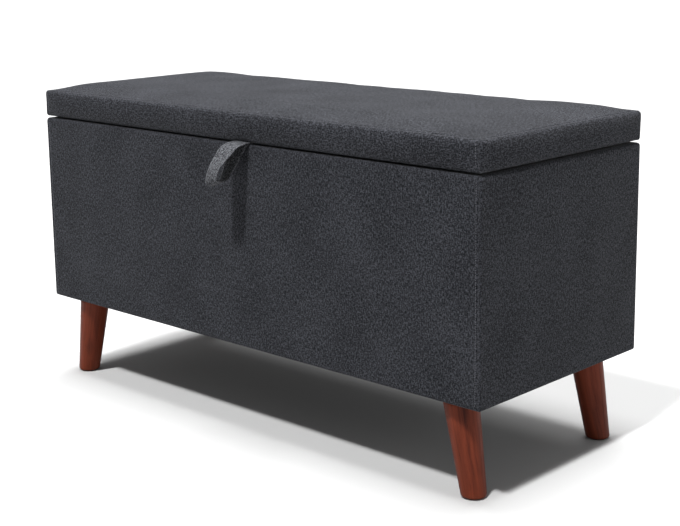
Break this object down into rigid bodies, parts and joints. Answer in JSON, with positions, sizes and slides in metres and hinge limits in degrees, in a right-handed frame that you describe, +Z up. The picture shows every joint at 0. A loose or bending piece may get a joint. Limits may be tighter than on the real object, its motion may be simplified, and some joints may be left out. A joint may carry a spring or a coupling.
{
  "type": "storage bench",
  "caption": "Upholstered storage bench with a hinged padded lid, a fabric pull tab and splayed tapered wooden legs.",
  "frame": {"origin": "on the floor, in the middle of the whole bench's bounding box (the tab in front and the hinge knuckles behind included)", "axes": "+X along the length to the right seen from the front, -Y to the front, +Z up"},
  "size_m": [1.04, 0.4958, 0.56],
  "materials": {
    "upholstery_cloth": "matte",
    "foam": "matte",
    "lining_cloth": "matte",
    "stained_wood": "satin",
    "raw_wood": "matte",
    "board": "matte",
    "plate_steel": "satin",
    "hinge_steel": "satin",
    "stay_steel": "satin",
    "stay_plastic": "satin",
    "fastener_steel": "satin",
    "glide_plastic": "matte"
  },
  "bodies": {
    "chest": {"back_panel": "board", "back_wadding": "foam", "bottom_panel": "board", "box_cover": "upholstery_cloth", "corner_post_back_left": "raw_wood", "corner_post_back_right": "raw_wood", "corner_post_front_left": "raw_wood", "corner_post_front_right": "raw_wood", "dust_cover": "lining_cloth", "foot_glide_back_left": "glide_plastic", "foot_glide_back_right": "glide_plastic", "foot_glide_front_left": "glide_plastic", "foot_glide_front_right": "glide_plastic", "front_panel": "board", "front_wadding": "foam", "hinge_box_leaf_left": "hinge_steel", "hinge_box_leaf_middle": "hinge_steel", "hinge_box_leaf_right": "hinge_steel", "hinge_box_screws": "fastener_steel", "hinge_pin_left": "fastener_steel", "hinge_pin_middle": "fastener_steel", "hinge_pin_right": "fastener_steel", "left_panel": "board", "left_wadding": "foam", "leg_back_left": "stained_wood", "leg_back_right": "stained_wood", "leg_bolts": "fastener_steel", "leg_front_left": "stained_wood", "leg_front_right": "stained_wood", "leg_plate_back_left": "plate_steel", "leg_plate_back_right": "plate_steel", "leg_plate_front_left": "plate_steel", "leg_plate_front_right": "plate_steel", "leg_plate_screws": "fastener_steel", "panel_screws": "fastener_steel", "right_panel": "board", "right_wadding": "foam", "stay_case_left": "stay_plastic", "stay_case_right": "stay_plastic", "stay_case_screws": "fastener_steel", "storage_lining": "lining_cloth"},
    "lid": {"hinge_lid_leaf_left": "hinge_steel", "hinge_lid_leaf_middle": "hinge_steel", "hinge_lid_leaf_right": "hinge_steel", "hinge_lid_screws": "fastener_steel", "lid_board": "board", "lid_cover": "upholstery_cloth", "lid_foam": "foam", "lid_lining": "lining_cloth", "pull_tab_tail": "upholstery_cloth", "stay_bracket_left": "stay_steel", "stay_bracket_right": "stay_steel", "stay_bracket_screws": "fastener_steel", "tab_staples": "fastener_steel"},
    "pull_tab": {"pull_tab": "upholstery_cloth"},
    "stay_arm_left": {"stay_arm_left": "stay_steel"},
    "stay_arm_right": {"stay_arm_right": "stay_steel"},
    "stay_link_left": {"stay_link_left": "stay_steel"},
    "stay_link_right": {"stay_link_right": "stay_steel"}
  },
  "joints": [
    {"name": "lid_hinge", "type": "hinge", "parent": "chest", "child": "lid", "pos_m": [0, 0.24413, 0.50075], "axis": [-1, 0, 0], "range_deg": [0, 85]},
    {"name": "pull_tab_swing", "type": "hinge", "parent": "lid", "child": "pull_tab", "pos_m": [0.024, -0.17988, 0.5012], "axis": [-1, 0, 0], "range_deg": [-24, 30], "stiffness_Nm_per_rad": 0.02},
    {"name": "stay_arm_left_turn", "type": "hinge", "parent": "chest", "child": "stay_arm_left", "pos_m": [-0.485, 0.17813, 0.42575], "axis": [-1, 0, 0], "range_deg": [0, 85]},
    {"name": "stay_link_left_turn", "type": "hinge", "parent": "stay_arm_left", "child": "stay_link_left", "pos_m": [-0.485, 0.08812, 0.41175], "axis": [-1, 0, 0], "range_deg": [-85, 0]},
    {"name": "stay_arm_right_turn", "type": "hinge", "parent": "chest", "child": "stay_arm_right", "pos_m": [0.485, 0.17813, 0.42575], "axis": [-1, 0, 0], "range_deg": [0, 85]},
    {"name": "stay_link_right_turn", "type": "hinge", "parent": "stay_arm_right", "child": "stay_link_right", "pos_m": [0.485, 0.08812, 0.41175], "axis": [-1, 0, 0], "range_deg": [-85, 0]}
  ],
  "couplings": [
    {"joint": "stay_arm_left_turn", "follows": "lid_hinge", "ratio": 1},
    {"joint": "stay_link_left_turn", "follows": "lid_hinge", "ratio": -1},
    {"joint": "stay_arm_right_turn", "follows": "lid_hinge", "ratio": 1},
    {"joint": "stay_link_right_turn", "follows": "lid_hinge", "ratio": -1}
  ]
}
